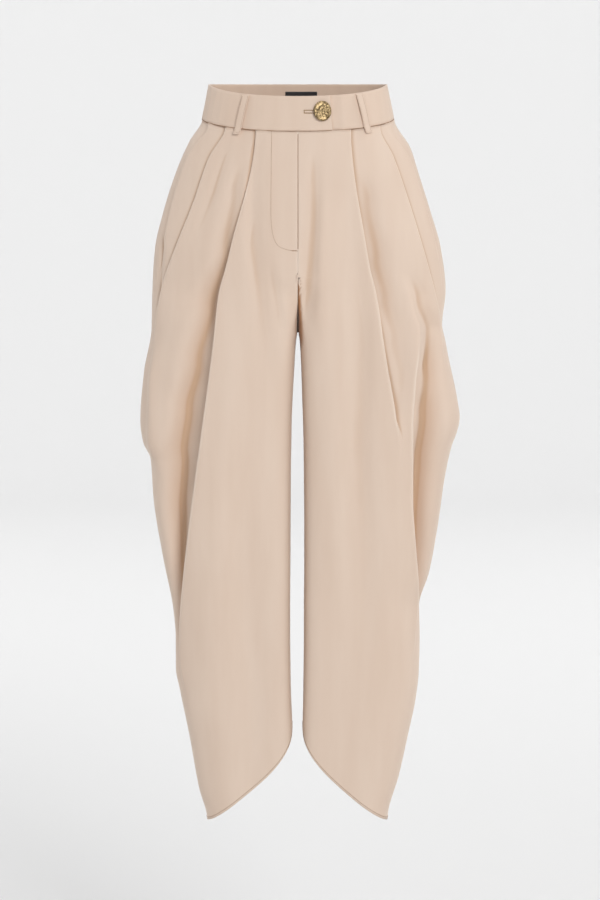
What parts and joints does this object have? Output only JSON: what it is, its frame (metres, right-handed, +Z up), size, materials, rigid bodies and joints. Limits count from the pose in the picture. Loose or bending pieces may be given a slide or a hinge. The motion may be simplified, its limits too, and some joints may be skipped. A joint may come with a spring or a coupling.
{
  "type": "high-waisted trousers",
  "caption": "High-waisted pleated trousers with draped hips and arched hems, waist held open, buttoned band with belt loops.",
  "frame": {"origin": "middle of the waist opening, at half the waistband's height at the sides", "axes": "+Z up along the wearer, +X to the wearer's left, -Y towards the front"},
  "size_m": [0.4754, 0.2191, 1.101],
  "materials": {
    "cloth": "smooth crepe with a soft sheen",
    "zip_tape": "matte woven tape",
    "dark_label": "satin weave, bare",
    "old_gold": "hammered, antique"
  },
  "bodies": {
    "root": {"front_right": "cloth", "front_left": "cloth", "back_right": "cloth", "back_left": "cloth", "band_front_right": "cloth", "band_front_left": "cloth", "band_back": "cloth", "belt_loop_front_right": "cloth", "belt_loop_front_left": "cloth", "belt_loop_back_right": "cloth", "belt_loop_back_left": "cloth", "belt_loop_back_centre": "cloth", "fly_shield": "cloth", "zip_tape": "zip_tape", "zip_slider": "old_gold", "label": "dark_label", "button": "old_gold", "button_shank": "old_gold"}
  },
  "joints": []
}
